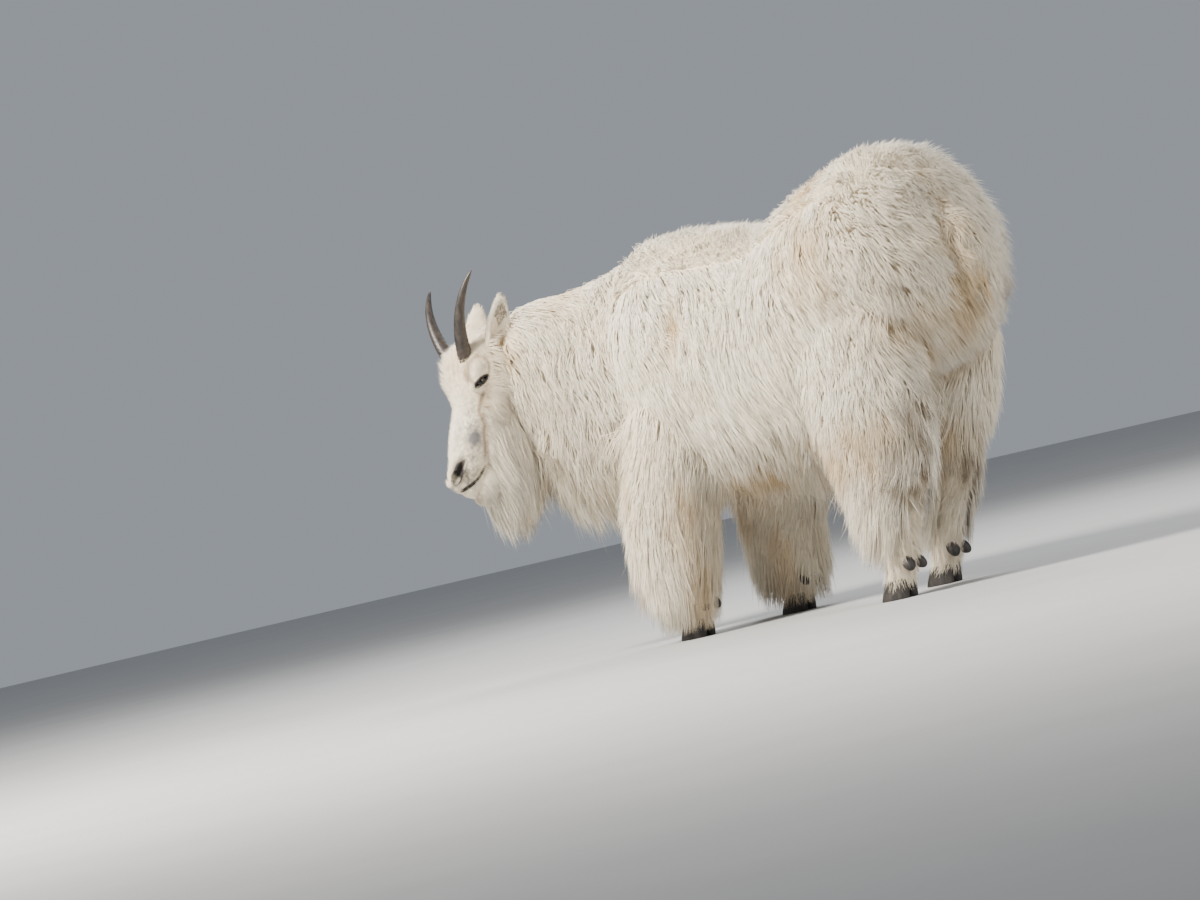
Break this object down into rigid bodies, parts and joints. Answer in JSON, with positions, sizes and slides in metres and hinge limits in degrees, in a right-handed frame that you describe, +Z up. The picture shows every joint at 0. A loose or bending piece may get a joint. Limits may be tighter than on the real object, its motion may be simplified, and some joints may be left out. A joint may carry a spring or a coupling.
{
  "type": "mountain goat",
  "caption": "Life-size still model of a mountain goat in its long winter coat, standing with its head low and turned to its left.",
  "frame": {"origin": "on the floor under the middle of the whole model's box", "axes": "+X from the chest towards the rump, +Y towards the goat's right side, +Z up"},
  "size_m": [1.4082, 0.7348, 0.9989],
  "materials": {
    "winter_coat": "long cream-white hair, warmer in its creases",
    "short_hair": "short white hair",
    "horn_sheath": "ringed near-black horn, grey-brown at its base",
    "hoof_horn": "dull black horn",
    "eye": "wet dark brown"
  },
  "bodies": {
    "root": {"dewclaw_fore_left_inner": "hoof_horn", "dewclaw_fore_left_outer": "hoof_horn", "dewclaw_fore_right_inner": "hoof_horn", "dewclaw_fore_right_outer": "hoof_horn", "dewclaw_hind_left_inner": "hoof_horn", "dewclaw_hind_left_outer": "hoof_horn", "dewclaw_hind_right_inner": "hoof_horn", "dewclaw_hind_right_outer": "hoof_horn", "ear_left": "short_hair", "ear_right": "short_hair", "eye_left": "eye", "eye_right": "eye", "foreleg_shank_left": "winter_coat", "foreleg_shank_right": "winter_coat", "foreleg_upper_left": "winter_coat", "foreleg_upper_right": "winter_coat", "head": "short_hair", "hind_thigh_left": "winter_coat", "hind_thigh_right": "winter_coat", "hindleg_shank_left": "winter_coat", "hindleg_shank_right": "winter_coat", "hoof_fore_left_inner": "hoof_horn", "hoof_fore_left_outer": "hoof_horn", "hoof_fore_right_inner": "hoof_horn", "hoof_fore_right_outer": "hoof_horn", "hoof_hind_left_inner": "hoof_horn", "hoof_hind_left_outer": "hoof_horn", "hoof_hind_right_inner": "hoof_horn", "hoof_hind_right_outer": "hoof_horn", "horn_left": "horn_sheath", "horn_right": "horn_sheath", "neck": "winter_coat", "tail": "winter_coat", "torso": "winter_coat"}
  },
  "joints": []
}
